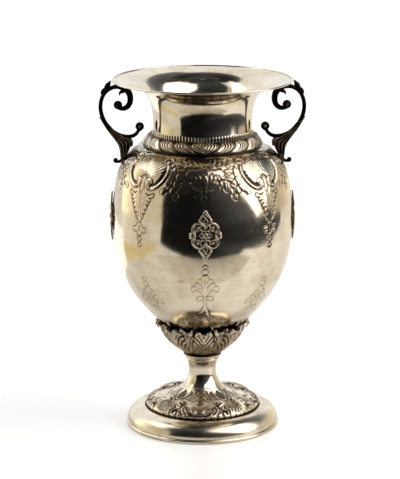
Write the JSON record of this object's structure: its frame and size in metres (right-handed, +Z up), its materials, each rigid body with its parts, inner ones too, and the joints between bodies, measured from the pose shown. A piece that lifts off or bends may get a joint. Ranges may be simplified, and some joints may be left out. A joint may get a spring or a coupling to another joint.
{
  "type": "footed vase",
  "caption": "Footed amphora vase in silver with flared mouth, cast scroll handles, acanthus calyx, pierced belt appliques and a domed round foot.",
  "frame": {"origin": "centre of the flat face that the foot rests on", "axes": "+Z up along the axis of the vase, handles on +X and -X, front towards -Y"},
  "size_m": [0.1746, 0.1602, 0.2999],
  "materials": {
    "silver_sheet": "polished warm silver, lightly tarnished, chased ornament darker in its hollows",
    "silver_mounts": "cast silver with bright high points and dark oxide in the hollows",
    "oxidised_silver": "dark brown oxidised cast silver with rubbed edges",
    "brass_hardware": "dull turned brass"
  },
  "bodies": {
    "root": {"foot_rim_wire": "silver_sheet", "foot_flange": "silver_sheet", "foot_mound": "silver_sheet", "stem": "silver_sheet", "stem_collar": "silver_mounts", "calyx_cup": "silver_mounts", "calyx_leaf_1": "silver_mounts", "calyx_leaf_2": "silver_mounts", "calyx_leaf_3": "silver_mounts", "calyx_leaf_4": "silver_mounts", "calyx_leaf_5": "silver_mounts", "calyx_leaf_6": "silver_mounts", "calyx_leaf_7": "silver_mounts", "calyx_leaf_8": "silver_mounts", "calyx_sepal_1": "silver_mounts", "calyx_sepal_2": "silver_mounts", "calyx_sepal_3": "silver_mounts", "calyx_sepal_4": "silver_mounts", "calyx_sepal_5": "silver_mounts", "calyx_sepal_6": "silver_mounts", "calyx_sepal_7": "silver_mounts", "calyx_sepal_8": "silver_mounts", "body_bowl": "silver_sheet", "shoulder_wreath": "silver_mounts", "neck_mouth": "silver_sheet", "lip_wire": "silver_sheet", "handle_right": "oxidised_silver", "handle_left": "oxidised_silver", "applique_right": "silver_mounts", "applique_back": "silver_mounts", "applique_left": "silver_mounts", "applique_front": "silver_mounts", "tie_stud": "brass_hardware", "stud_washer": "brass_hardware", "stud_nut": "brass_hardware"}
  },
  "joints": []
}
